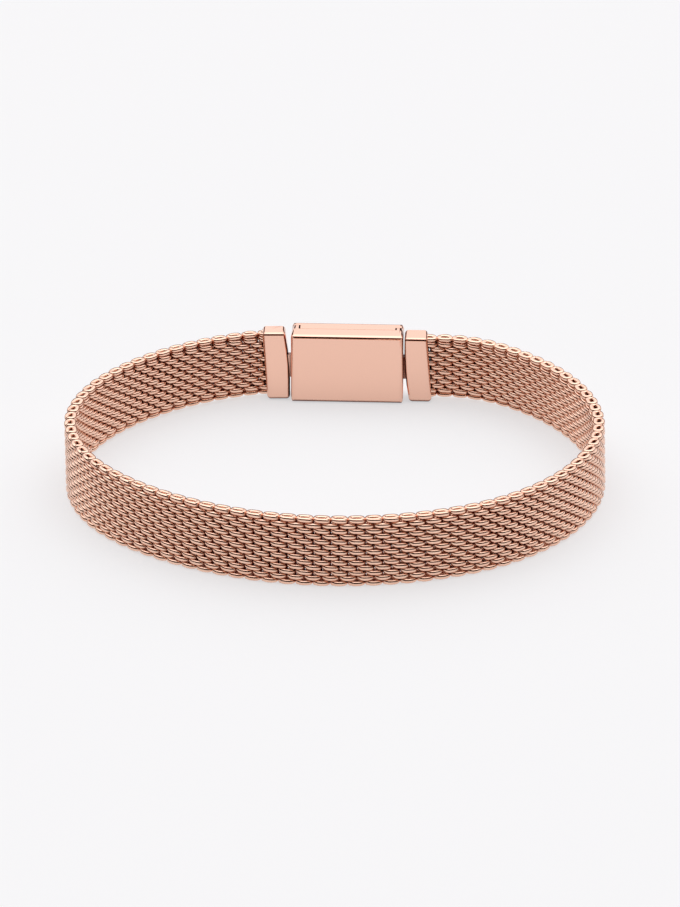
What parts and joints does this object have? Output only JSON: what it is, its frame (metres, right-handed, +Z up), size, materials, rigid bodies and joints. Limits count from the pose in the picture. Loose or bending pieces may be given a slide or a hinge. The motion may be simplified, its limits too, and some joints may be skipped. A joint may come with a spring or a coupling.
{
  "type": "mesh bracelet",
  "caption": "Closed oval bracelet of woven wire mesh in a rose gold tone, joined by a polished box clasp with a hinged lid between two end caps.",
  "frame": {"origin": "on the surface that the bracelet stands on, below the middle of its outline", "axes": "+Z up across the band's height, +X to the right along the line of the clasp, +Y to the back, where the clasp is"},
  "size_m": [0.066, 0.0566, 0.0093],
  "materials": {
    "woven_wire": "rose gold plated wire, bright, with dark gaps between the coils",
    "cap_metal": "rose gold plated, polished",
    "clasp_metal": "rose gold plated, polished, plain inner face",
    "pin_metal": "plain bright pin"
  },
  "bodies": {
    "band": {"mesh_band": "woven_wire", "end_cap_left": "cap_metal", "end_cap_right": "cap_metal", "clasp_base": "clasp_metal", "hinge_pin": "pin_metal"},
    "lid": {"clasp_lid": "clasp_metal"}
  },
  "joints": [
    {"name": "lid_hinge", "type": "hinge", "parent": "band", "child": "lid", "pos_m": [0.00677, 0.02754, 0.00465], "axis": [0, 0, -1], "range_deg": [0, 95]}
  ]
}
